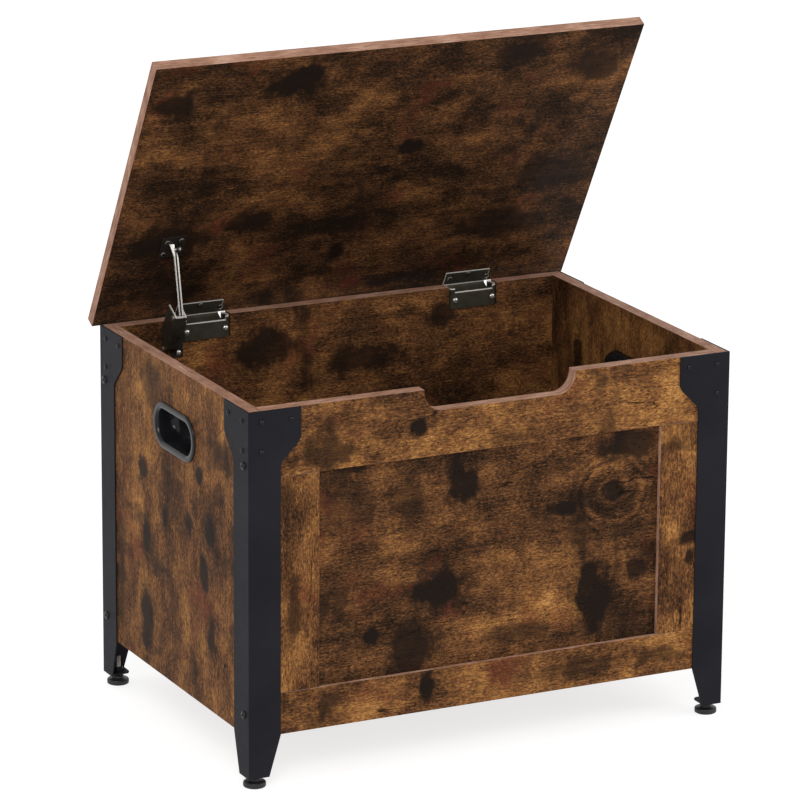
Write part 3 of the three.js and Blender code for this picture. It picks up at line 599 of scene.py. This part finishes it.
dome_pattern = turned("dome_pattern", DOME_HEAD)
cross_recess(dome_pattern, 2.6, 1.8, 0.7)
LEG_SIDES = {"left": -1, "right": 1}
LEG_ENDS = {"front": -1, "back": 1}
case_low = Vector(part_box("leg_front_left")[0])
case_high = Vector(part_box("leg_back_right")[1])
for end_name, end in LEG_ENDS.items():
    for side_name, side in LEG_SIDES.items():
        corner_x = case_high.x if side > 0 else case_low.x
        corner_y = case_high.y if end > 0 else case_low.y
        for count, (along, drop) in enumerate(FLARE_SCREWS, 1):
            z = case_high.z - drop * MM
            places = {"face": ((corner_x - side * along * MM, corner_y, z), (0, end, 0)),
                      "side": ((corner_x, corner_y - end * along * MM, z), (side, 0, 0))}
            for face_name, (foot, axis) in places.items():
                head = copy_of(dome_pattern, f"flare_screw_{end_name}_{side_name}_{face_name}_{count}")
                stand(head, foot, axis)
                hand_over(head, "case", "black_screw", black_head)
bpy.data.objects.remove(dome_pattern)

# ---------------------------------------------------------------------------------------------
# Socket bolts through the legs' side faces: a shank, a low button head and a hexagonal socket.
# ---------------------------------------------------------------------------------------------
BOLT_STEPS = [(2.2, -34), (2.5, -33.5), (2.5, -0.2), (4.4, 0.0), (4.6, 0.3), (4.55, 0.9), (4.0, 1.7),
              (3.1, 2.2), (2.2, 2.35)]
BOLT_SEAT = 2.7
SOCKET_RADIUS = 1.75


def head_of(name, axis):
    """Where a CAD screw's head ends: the point of its own axis level with its outermost vertex."""
    points = [vertex.co for vertex in node[name].data.vertices]
    centre = sum(points, Vector()) / len(points)
    top = max((point - centre).dot(axis) for point in points)
    return centre + axis * top


bolt_pattern = turned("bolt_pattern", BOLT_STEPS)
bpy.ops.object.select_all(action="DESELECT")
bpy.ops.mesh.primitive_cylinder_add(vertices=6, radius=SOCKET_RADIUS * MM, depth=3 * MM,
                                    location=(0, 0, 2.4 * MM))
cut_away(bolt_pattern, bpy.context.object)
for name in [name for name in node if name.startswith("leg_bolt_")]:
    axis = X_AXIS * LEG_SIDES[name.split("_")[3]]
    bolt = copy_of(bolt_pattern, f"{name}_socket_head")
    stand(bolt, head_of(name, axis) - axis * BOLT_SEAT * MM, axis)
    hand_over(bolt, "case", "black_screw", black_head, name)
bpy.data.objects.remove(bolt_pattern)

# ---------------------------------------------------------------------------------------------
# Four levelling feet: a moulded black disc with a fluted rim and a neck, on a threaded stud.
# ---------------------------------------------------------------------------------------------
FOOT_STEPS = [(11.0, 0), (12.1, 0.4), (12.5, 1.2), (12.5, 4.8), (12.1, 5.6), (11.2, 6.0), (7.4, 6.4),
              (6.6, 7.0), (6.4, 9.5), (6.0, 10.0), (3.1, 10.0), (2.6, 10.05)]
STUD_PITCH = 1.0
STUD_TURNS = 23
FLUTES = 24
FLUTE_EDGE = 11.8  # what lies outside this radius is fluted
FLUTE_DRAW = 0.955


def moulded(name, tone, roughness, grain=900, shine=0.3):
    """Moulded black plastic with a faint grain."""
    finish = Finish(name)
    point = finish.make("ShaderNodeTexCoord", {}).outputs["Object"]
    cloud = finish.noise(point, (40, 40, 40), 3.3, 3)
    peel = finish.noise(point, (grain, grain, grain), 6.1, 2)
    paler = tuple(1.5 * level for level in tone)
    finish.fill(Base_Color=finish.ramp(cloud, [(0.3, tone), (0.7, paler)]))
    finish.fill(Roughness=roughness + (cloud - 0.5) * 0.1, Specular_IOR_Level=shine)
    finish.bump(peel, 0.00003, 0.4)
    return finish.material


def flute(piece, radius):
    """Draws every other pair of upright edges on a turned rim inwards."""
    bpy.ops.object.mode_set(mode="EDIT")
    mesh = bmesh.from_edit_mesh(piece.data)
    for vertex in mesh.verts:
        turn = math.atan2(vertex.co.y, vertex.co.x) / math.tau * FLUTES * 2
        outer = math.hypot(vertex.co.x, vertex.co.y) > radius
        vertex.select_set(outer and round(turn) % 2 == 0)
    mesh.select_flush_mode()
    bmesh.update_edit_mesh(piece.data)
    bpy.ops.transform.resize(value=(FLUTE_DRAW, FLUTE_DRAW, 1), center_override=(0, 0, 0))
    bpy.ops.object.mode_set(mode="OBJECT")


foot_black = moulded("foot_plastic", (0.009, 0.009, 0.010), 0.42)
thread_steel = plated("zinc_thread", [(0.3, (0.34, 0.33, 0.31)), (0.7, (0.50, 0.49, 0.46))], 0.34)
stud_steps = [(2.4, 9.9)]
for turn in range(STUD_TURNS):
    stud_steps += [(3.0, 10.3 + turn * STUD_PITCH), (2.5, 10.8 + turn * STUD_PITCH)]
for end_name in LEG_ENDS:
    for side_name in LEG_SIDES:
        name = f"foot_{end_name}_{side_name}"
        centre, _ = middle(name)
        base = Vector((centre.x, centre.y, 0))
        pad = turned(f"{name}_pad", FOOT_STEPS, segments=FLUTES * 2)
        flute(pad, FLUTE_EDGE * MM)
        stand(pad, base, Z_AXIS)
        hand_over(pad, name, "foot_plastic", foot_black, name)
        stud = turned(f"{name}_stud", stud_steps, segments=20)
        stand(stud, base, Z_AXIS)
        hand_over(stud, name, "zinc", thread_steel, smooth=20)

# ---------------------------------------------------------------------------------------------
# Moulded cup pulls in the side panels: a rounded flange with a soft lip round a smooth scoop.
# Each is turned first and then drawn out sideways into a long oval.
# ---------------------------------------------------------------------------------------------
HANDLE_STEPS = [(13.5, -25), (16.5, -24.2), (18.6, -21.5), (19.4, -17), (19.4, 0), (26.4, 0),
                (26.5, 0.8), (26.1, 1.7), (25.2, 2.35), (24.0, 2.5), (21.2, 2.5), (20.0, 2.2),
                (19.0, 1.2), (18.3, -0.8), (17.9, -4), (17.5, -9), (16.8, -14), (15.4, -18.5),
                (13.0, -21.4), (9.5, -22.8), (5.0, -23.2)]
HANDLE_DRAW = 28.5
HANDLE_BACK = HANDLE_STEPS[0][1] + 0.1


def draw_out(piece, reach):
    """Pulls the two halves of a turned piece apart along its own x."""
    only(piece)
    bpy.ops.object.mode_set(mode="EDIT")
    bpy.ops.mesh.select_all(action="SELECT")
    first_ring = [v for v in bmesh.from_edit_mesh(piece.data).verts if v.co.z < HANDLE_BACK * MM]
    half_step = math.pi / len(first_ring)
    bpy.ops.transform.rotate(value=half_step, orient_axis="Z", center_override=(0, 0, 0))
    for side in (-1, 1):
        mesh = bmesh.from_edit_mesh(piece.data)
        for vertex in mesh.verts:
            vertex.select_set(vertex.co.x * side > 0)
        mesh.select_flush_mode()
        bmesh.update_edit_mesh(piece.data)
        bpy.ops.transform.translate(value=(side * reach * MM, 0, 0))
    bpy.ops.object.mode_set(mode="OBJECT")


gloss_black = moulded("gloss_black_plastic", (0.006, 0.006, 0.007), 0.2, grain=300, shine=0.22)
for side_name, side in LEG_SIDES.items():
    name = f"handle_{side_name}"
    centre, _ = middle(name)
    low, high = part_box(name)
    face_x = high[0] if side > 0 else low[0]
    pull = turned(f"{name}_cup", HANDLE_STEPS, segments=64)
    draw_out(pull, HANDLE_DRAW)
    stand(pull, Vector((face_x - side * 2.5 * MM, centre.y, centre.z)), X_AXIS * side)
    hand_over(pull, "case", "black_plastic", gloss_black, name, smooth=50)

# ---------------------------------------------------------------------------------------------
# Each hinge's fixed half: an olive bronze tray in the back panel's notch. Its front wall turns
# round both ends in a rounded corner, its back is open, and its top rim carries a painted highlight.
# ---------------------------------------------------------------------------------------------
BRONZE_TONES = [(0.3, (0.026, 0.023, 0.015)), (0.7, (0.046, 0.040, 0.027))]
BRONZE_METAL = 0.45
BACK_WALL_TOP = 11.2
TRAY_WALL = 1.5
TRAY_DEEPER = 2.5
TRAY_WIDER = 1.9
LEAF_PASSAGE = 26.3
TRAY_CORNER = 6
TRAY_RIM = 0.0013
FRONT_WALL_DROP = 4.2


def block(name, low, high):
    """A box between two corners."""
    bpy.ops.object.select_all(action="DESELECT")
    bpy.ops.mesh.primitive_cube_add(size=1, location=(Vector(low) + Vector(high)) / 2)
    piece = bpy.context.object
    piece.name = name
    piece.scale = Vector(high) - Vector(low)
    bpy.ops.object.transform_apply(location=True, rotation=True, scale=True)
    return piece


def pick(piece, kind, test):
    """Selects the edges or faces that pass a test, in edit mode."""
    mesh = bmesh.from_edit_mesh(piece.data)
    bpy.ops.mesh.select_all(action="DESELECT")
    for part in getattr(mesh, kind):
        part.select_set(test(part))
    mesh.select_flush_mode()
    bmesh.update_edit_mesh(piece.data)


def soften(piece, width, segments=2):
    """Rounds all of a piece's sharp edges."""
    modifier = piece.modifiers.new("rounded", "BEVEL")
    modifier.width = width * MM
    modifier.segments = segments
    modifier.limit_method = "ANGLE"
    only(piece)
    bpy.ops.object.modifier_apply(modifier="rounded")


def hinge_tray(name):
    low, high = (Vector(corner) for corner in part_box(name))
    low.x -= TRAY_WIDER * MM
    high += Vector((TRAY_WIDER, TRAY_DEEPER, 0)) * MM
    wall = TRAY_WALL * MM
    tray = block(f"{name}_tray", low, high)
    only(tray)
    bpy.ops.object.mode_set(mode="EDIT")
    bpy.context.tool_settings.mesh_select_mode = (False, True, False)
    front = low.y + 0.0001

    def front_upright(edge):
        first, second = (vertex.co for vertex in edge.verts)
        return first.y < front and second.y < front and abs(first.z - second.z) > wall

    pick(tray, "edges", front_upright)
    bpy.ops.mesh.bevel(offset=TRAY_CORNER * MM, segments=8)
    bpy.context.tool_settings.mesh_select_mode = (False, False, True)
    pick(tray, "faces", lambda f: f.normal.z > 0.9)
    bpy.ops.mesh.inset(thickness=wall, depth=0)
    bpy.ops.mesh.extrude_region_move(TRANSFORM_OT_translate={"value": (0, 0, low.z + wall - high.z)})
    bpy.ops.object.mode_set(mode="OBJECT")
    middle_x = (low.x + high.x) / 2
    open_low = (middle_x - LEAF_PASSAGE * MM, high.y - wall * 2, high.z - BACK_WALL_TOP * MM)
    open_high = (middle_x + LEAF_PASSAGE * MM, high.y + wall, high.z + wall)
    cut_away(tray, block("open_back", open_low, open_high))
    front_low = (low.x + TRAY_CORNER * MM, low.y - wall, high.z - FRONT_WALL_DROP * MM)
    front_high = (high.x - TRAY_CORNER * MM, low.y + wall * 2, high.z + wall)
    cut_away(tray, block("low_front", front_low, front_high))
    soften(tray, 0.3)
    return tray


def tray_rim(name):
    """The tray's finish with a painted highlight on its top rim, down to a millimetre below it, round
    the ends and along the front.
    """
    low, high = (Vector(corner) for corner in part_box(name))
    centre = (low + high) / 2
    front_top = high.z - FRONT_WALL_DROP * MM - centre.z
    end_rim = high.z - centre.z - TRAY_RIM
    reach = (high.x - low.x) / 2 + (TRAY_WIDER - TRAY_CORNER) * MM

    # Painted highlight mask: 1 on the top rim band, round the ends and along the lowered front wall.
    def shine(u, v, w):
        ends = (abs(u) - reach).step(-0.0003, 0.0003)
        front = v.step(front_top - TRAY_RIM, front_top - TRAY_RIM + 0.0002)
        below_rim = v.step(end_rim, end_rim - 0.0002)
        return front.least(1 - ends * below_rim)

    return plated(f"{name}_bronze", BRONZE_TONES, 0.4, BRONZE_METAL,
                  place=(tuple(centre), X_AXIS, Z_AXIS), shine=shine)


for name in ("hinge_base_left", "hinge_base_right"):
    hand_over(hinge_tray(name), "case", "bronze", tray_rim(name), name)

# ---------------------------------------------------------------------------------------------
# Each hinge's moving half: a bronze leaf on the lid, with thin painted highlights at its edges and
# where it bends down to the knuckle, on a bright pin.
# ---------------------------------------------------------------------------------------------
LEAF_BEND = 0.0091
LEAF_TOP = 0.0276
zinc = plated("bright_zinc", [(0.3, (0.42, 0.405, 0.38)), (0.7, (0.58, 0.56, 0.52))], 0.26)
lid_face = Vector((0, -math.sin(LID_LEAN), -math.cos(LID_LEAN)))


def leaf_finish(side_name):
    pin, _ = middle(f"hinge_pin_{side_name}")
    _, size = middle(f"hinge_leaf_{side_name}")

    # Painted highlights: a band along the bend down to the knuckle, and weaker ones at the top edge and
    # both ends.
    def shine(u, v, w):
        bend = abs(v - LEAF_BEND).step(0.0009, 0.0007)
        top = v.step(LEAF_TOP - 0.0007, LEAF_TOP - 0.0005)
        ends = abs(u).step(size.x - 0.0006, size.x - 0.0004)
        return bend.most(top.most(ends) * 0.55)

    return plated(f"hinge_leaf_{side_name}_bronze", BRONZE_TONES, 0.42, BRONZE_METAL,
                  place=(tuple(pin), X_AXIS, lid_slope), shine=shine)


for side_name in LEG_SIDES:
    ease_edges(dress(f"hinge_leaf_{side_name}", leaf_finish(side_name)), 0.0003)
    ease_edges(dress(f"hinge_pin_{side_name}", zinc), 0.0003)

# ---------------------------------------------------------------------------------------------
# The stay: a dark bracket on the lid, a folded arm with painted highlights along its two edges, a
# channel with a painted highlight along its rim and a bracket on the back panel, on headed pins.
# ---------------------------------------------------------------------------------------------
CHANNEL_RIM = 0.0015
CHANNEL_RIM_SLANT = 2.5 / 22.4
CHANNEL_PAST_KNEE = 0.0054
CHANNEL_RIM_START = 0.0048
ARM_BLOCK = 0.003
ARM_DARK_MIDDLE = 0.0003
ARM_SECTION = (2.4, 1.3)
ARM_FOOT = 2.7
ARM_KINK = (-3.6, 9)
ARM_HOOK = (-9.0, 6.5)


def stay_arm():
    """A folded strip: extruded from a block at the knee up to a kink and on to a short hook."""
    knee, _ = middle("stay_knee_pin")
    top, _ = middle("stay_lid_pin")
    rise = top - knee
    rise = Vector((0, rise.y, rise.z)).normalized()
    half = Vector((ARM_SECTION[0] * MM, ARM_SECTION[1] * MM, ARM_BLOCK))
    foot = Vector((knee.x + ARM_FOOT * MM, knee.y, knee.z))
    kink = Vector((knee.x + ARM_KINK[0] * MM, top.y, top.z)) - rise * ARM_KINK[1] * MM
    hook = Vector((knee.x + ARM_HOOK[0] * MM, top.y, top.z)) + rise * ARM_HOOK[1] * MM
    strip = block("stay_arm_strip", foot - half, foot + half)
    only(strip)
    bpy.ops.object.mode_set(mode="EDIT")
    bpy.context.tool_settings.mesh_select_mode = (False, False, True)
    pick(strip, "faces", lambda f: f.normal.z > 0.9)
    for start, end in ((foot + Vector((0, 0, half.z)), kink), (kink, hook)):
        bpy.ops.mesh.extrude_region_move(TRANSFORM_OT_translate={"value": end - start})
    bpy.ops.object.mode_set(mode="OBJECT")
    soften(strip, 0.3)
    along = (kink - foot).normalized()
    across = (X_AXIS - along * along.x).normalized()

    # Painted highlights: pale metal down both edges of the arm's front face, its own dark colour in the
    # middle.
    def shine(u, v, w):
        return abs(v + ARM_DARK_MIDDLE).step(0.0009, 0.0011)

    steel = plated("stay_arm_steel", [(0.3, (0.014, 0.013, 0.012)), (0.7, (0.035, 0.032, 0.028))], 0.32,
                   BRONZE_METAL, place=(tuple(foot), along, across), shine=shine)
    hand_over(strip, "stay_arm", "zinc", steel, "stay_arm")


def channel_finish():
    pivot, _ = middle("stay_base_pin")
    knee, _ = middle("stay_knee_pin")
    along = knee - pivot
    reach = Vector((0, along.y, along.z)).length + CHANNEL_PAST_KNEE
    along = Vector((0, along.y, along.z)).normalized()

    # Painted highlight: a pale metal band across the channel's rim just past the knee.
    def shine(u, v, w):
        level = u + (w + CHANNEL_RIM_START) * CHANNEL_RIM_SLANT
        return level.step(reach - CHANNEL_RIM, reach - CHANNEL_RIM + 0.0002)

    return plated("stay_channel_bronze", [(0.3, (0.024, 0.022, 0.016)), (0.7, (0.050, 0.045, 0.035))],
                  0.3, BRONZE_METAL, place=(tuple(pivot), along, X_AXIS), shine=shine)


dark_bronze = plated("dark_bronze", [(0.3, (0.013, 0.0105, 0.0085)), (0.7, (0.024, 0.019, 0.015))],
                     0.42, BRONZE_METAL)
ease_edges(dress("stay_lid_bracket", dark_bronze), 0.0003)
ease_edges(dress("stay_base_bracket", dark_bronze), 0.0003)
stay_arm()
ease_edges(dress("stay_channel", channel_finish()), 0.0002)
for name in ("stay_lid_pin", "stay_knee_pin", "stay_base_pin"):
    ease_edges(dress(name, zinc), 0.0003)

# ---------------------------------------------------------------------------------------------
# Pan-head screws with a cross recess: bright ones in the hinges' fixed halves and the stay's
# lower bracket, dark ones in the plates on the lid.
# ---------------------------------------------------------------------------------------------
PAN_HEAD = [(0.4, -10), (1.5, -8.6), (1.6, -8), (1.6, 0), (3.2, 0), (3.4, 0.35), (3.3, 0.9), (2.8, 1.4),
            (2.0, 1.75), (1.0, 1.95), (0.2, 2.0)]
SHORT_PAN = [(1.3, -2.6), (1.6, -2.3)] + PAN_HEAD[3:]
PAN_SEAT = 2.0
burnished = plated("burnished_head", [(0.3, (0.05, 0.046, 0.04)), (0.7, (0.13, 0.12, 0.105))], 0.24)


def pan_screw(name, axis, steps, body, slot, material):
    screw = turned(f"{name}_pan_head", steps)
    cross_recess(screw, 3.6, 2.0, 0.9)
    stand(screw, head_of(name, axis) - axis * PAN_SEAT * MM, axis)
    hand_over(screw, body, slot, material, name)


for name in [name for name in node if "_screw_" in name]:
    on_lid = name.startswith("hinge_leaf") or name.startswith("stay_lid")
    steps = SHORT_PAN if name.startswith("hinge_base") else PAN_HEAD
    if on_lid:
        pan_screw(name, lid_face, steps, "lid", "zinc", burnished)
    else:
        pan_screw(name, -Y_AXIS, steps, "case", "zinc", zinc)
